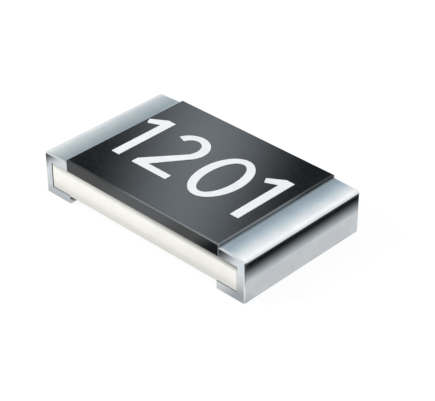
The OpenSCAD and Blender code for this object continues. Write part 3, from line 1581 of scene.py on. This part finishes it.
@dataclass
class EndScreen(StageCard):
    """A low screen before one end of the chip, with a level at each height in millimetres.

    It fades out at its sides, over a span of its half width.
    """

    name: str
    side: Side
    middle: float
    half_width: float
    levels: tuple[Pair, ...]
    gap: float = 0.17
    rim: Pair = (0.97, 1.0)
    height: float = 0.36
    tone: Colour = (0.96, 1.0, 1.02, 1.0)

    def shape(self) -> Piece:
        """Stands the screen on the floor before the end face.

        Returns:
            The card.
        """
        outwards = Vector((self.side.value, 0.0, 0.0))
        place = outwards * (CAD_BOX[1].x / MM + self.gap) + Vector((0.0, self.middle, self.height / 2))
        return self.sheet(place, outwards, (self.half_width, self.height / 2))

    def glow(self, board: Board, across: Socket, up: Socket) -> Socket:
        """Grades the screen from its foot up.

        Args:
            board: The card's board.
            across: The card's own X.
            up: The card's own Y.

        Returns:
            The shader's socket.
        """
        share = board.fade(up, self.OWN_SPAN, RISING, smooth=False)
        level = board.ramp(share, {at / self.height: grey(level) for at, level in self.levels})
        cover = board.fade(board.math("ABSOLUTE", across), self.rim, FALLING)
        return board.mix(cover, board.clear(), board.light(self.tone, level))


@dataclass
class PaintedFloorPatch(StageCard):
    """A soft patch on the floor, darker or lighter than it, which the faces above it mirror: a dark one
    is painted shadow and a bright one painted light.

    It is full as far as a share of its half size, and fades from there to its rim, which is an oval
    that grows squarer with its squareness.
    """

    name: str
    place: Pair
    half_size: Pair
    level: float
    lift: float
    full: float = 0.35
    squareness: float = 2.0
    tone: Colour = (0.97, 1.0, 1.02, 1.0)

    def shape(self) -> Piece:
        """Lays the flag on the floor, at its own lift."""
        return self.sheet(Vector((*self.place, self.lift)), Vector(UP), self.half_size)

    def glow(self, board: Board, across: Socket, up: Socket) -> Socket:
        """Sets the level of the flag's middle and fades its rim.

        Args:
            board: The card's board.
            across: The card's own X.
            up: The card's own Y.

        Returns:
            The shader's socket.
        """
        lengths = [board.math("ABSOLUTE", axis) for axis in (across, up)]
        powers = [board.math("POWER", length, self.squareness) for length in lengths]
        out = board.math("POWER", board.math("ADD", *powers), 1.0 / self.squareness)
        cover = board.fade(out, (self.full, 1.0), FALLING)
        return board.mix(cover, board.clear(), board.light(self.tone, self.level))


@dataclass(frozen=True)
class Lamp:
    """A square soft lamp that looks at the chip, its lengths in millimetres and its power in watts."""

    name: str
    place: Place
    side: float
    power: float

    def hang(self) -> None:
        """Puts the lamp in place, out of sight of reflections."""
        light = bpy.data.lights.new(self.name, "AREA")
        light.shape = "SQUARE"
        light.size = self.side * MM
        light.energy = self.power
        lamp = bpy.data.objects.new(self.name, light)
        bpy.context.scene.collection.objects.link(lamp)
        place = Vector(self.place)
        lamp.location = place * MM
        lamp.rotation_euler = (-place).to_track_quat("-Z", "Y").to_euler()
        lamp.visible_glossy = False


LEFT_SCREEN = EndScreen(
    "left_screen", Side.LEFT, middle=0.0, half_width=0.8,
    levels=((0.0, 1.03), (0.06, 1.03), (0.195, 0.05)),
)
RIGHT_SCREEN = EndScreen(
    "right_screen", Side.RIGHT, middle=0.0, half_width=1.1,
    levels=(
        (0.0, 0.72), (0.06, 0.29), (0.095, 0.1), (0.125, 0.01), (0.16, 0.01),
        (0.17, 0.42), (0.178, 1.0), (0.36, 1.15),
    ),
)
NEAR_SCREEN = EndScreen(
    "near_screen", Side.RIGHT, middle=-0.82, half_width=0.45,
    levels=((0.0, 0.75), (0.06, 0.5), (0.13, 0.22), (0.17, 0.05), (0.2, 0.012)),
    gap=0.165, rim=(0.45, 1.0),
)
# Painted shadow where the patches are dark, under the chip, at its feet, step and corner; painted light in
# the two bounce patches.
PAINTED_FLOOR_PATCHES = (
    PaintedFloorPatch("step_shadow", (0.44, -0.965), (0.25, 0.25), 0.06, lift=0.001, full=0.15),
    PaintedFloorPatch("foot_shadow", (0.97, -0.655), (0.24, 0.24), 0.48, lift=0.002, full=0.0),
    PaintedFloorPatch("corner_shadow", (-1.48, -0.98), (0.2, 0.2), 0.06, lift=0.001, full=0.0),
    PaintedFloorPatch("belly_shadow", (0.0, 0.0), (0.84, 0.64), 0.06, lift=0.003, full=0.95, squareness=8.0),
    PaintedFloorPatch("wall_bounce", (-0.37, -0.97), (0.5, 0.2), 1.4, lift=0.003),
    PaintedFloorPatch("corner_bounce", (0.75, -0.92), (0.13, 0.13), 1.03, lift=0.003),
    PaintedFloorPatch("left_foot_shadow", (-0.94, -0.655), (0.24, 0.1), 0.7, lift=0.002, full=0.5),
)


@dataclass
class Studio:
    """White floor and world, soft lamps, cards and the camera, with lengths in millimetres.

    The floor glows by a share of its look in reflections, and by another in the camera's view.
    """

    camera_at: Place = (6.7505, -6.8342, 6.528)
    camera_aim: Place = (0.068, 0.127, 0.066)
    focal_pixels: float = 1513.8
    clip: Pair = (1.0, 1000.0)
    floor_size: float = 400.0
    floor_level: float = -0.0005
    floor_tone: Colour = grey(0.85)
    floor_light: float = 1.04
    floor_shares: Pair = (0.45, 0.88)
    ambient: float = 0.57
    white: Colour = grey(1.0)
    lamps: tuple[Lamp, ...] = (
        Lamp("key_lamp", (-11.5, -11.1, 12.0), 9.0, 2.6e-3),
        Lamp("fill_lamp", (11.1, 12.0, 11.5), 8.0, 1.0e-3),
    )
    cards: tuple[StageCard, ...] = (
        SkyCard(), StripCard(), LEFT_SCREEN, RIGHT_SCREEN, NEAR_SCREEN, *PAINTED_FLOOR_PATCHES,
    )

    def build(self) -> None:
        """Sets up the whole studio."""
        bpy.context.scene.view_settings.view_transform = "Standard"
        self._world()
        self._floor()
        for thing in self.lamps + self.cards:
            thing.hang()
            LOG.info("%s: in place", thing.name)
        self._camera()

    def _world(self) -> None:
        """Makes a world that is seen as white and lights at a plain level."""
        world = bpy.data.worlds.new("white_studio")
        world.use_nodes = True
        bpy.context.scene.world = world
        board = Board(world.node_tree)
        back = world.node_tree.nodes["Background"]
        back.inputs["Color"].default_value = self.white
        seen = board.math("MAXIMUM", *board.rays())
        level = board.fade(seen, RISING, (self.ambient, 1.0), smooth=False)
        board.feed(back.inputs["Strength"], level)

    def _floor(self) -> None:
        """Lays a white floor that keeps a faint shadow, and a deeper one in reflections."""
        Bench.clear()
        bpy.ops.mesh.primitive_plane_add(
            size=self.floor_size * MM, location=(0.0, 0.0, self.floor_level * MM)
        )
        floor = Bench.fresh("studio_floor")
        made = bpy.data.materials.new("white_floor")
        board, surface = Board.blank(made)
        paint = board.feed_all(board.add("ShaderNodeBsdfDiffuse"), self.floor_tone)
        light = board.light(self.white, self.floor_light)
        camera, mirrored = board.rays()
        shares = [board.math("MULTIPLY", *pair) for pair in zip((mirrored, camera), self.floor_shares)]
        board.feed(surface, board.mix(board.math("MAXIMUM", *shares), paint, light))
        floor.data.materials.append(made)

    def _camera(self) -> None:
        """Sets the camera to the photograph's view."""
        data = bpy.data.cameras.new("photo_camera")
        data.sensor_width = SENSOR_WIDTH
        data.lens = self.focal_pixels * SENSOR_WIDTH / PHOTO_WIDTH
        data.clip_start, data.clip_end = (limit * MM for limit in self.clip)
        camera = bpy.data.objects.new("photo_camera", data)
        bpy.context.scene.collection.objects.link(camera)
        place = Vector(self.camera_at)
        camera.location = place * MM
        camera.rotation_euler = (Vector(self.camera_aim) - place).to_track_quat("-Z", "Y").to_euler()
        bpy.context.scene.camera = camera


def main() -> None:
    """Builds the chip's pieces in order and sets up the studio."""
    logging.basicConfig(level=logging.INFO, format="%(name)s: %(message)s")
    for assembly in (CeramicPlate(), InnerLayers(), Terminals(), ProtectiveCoat(), Marking()):
        assembly.build()
    Studio().build()


if __name__ == "__main__":
    main()
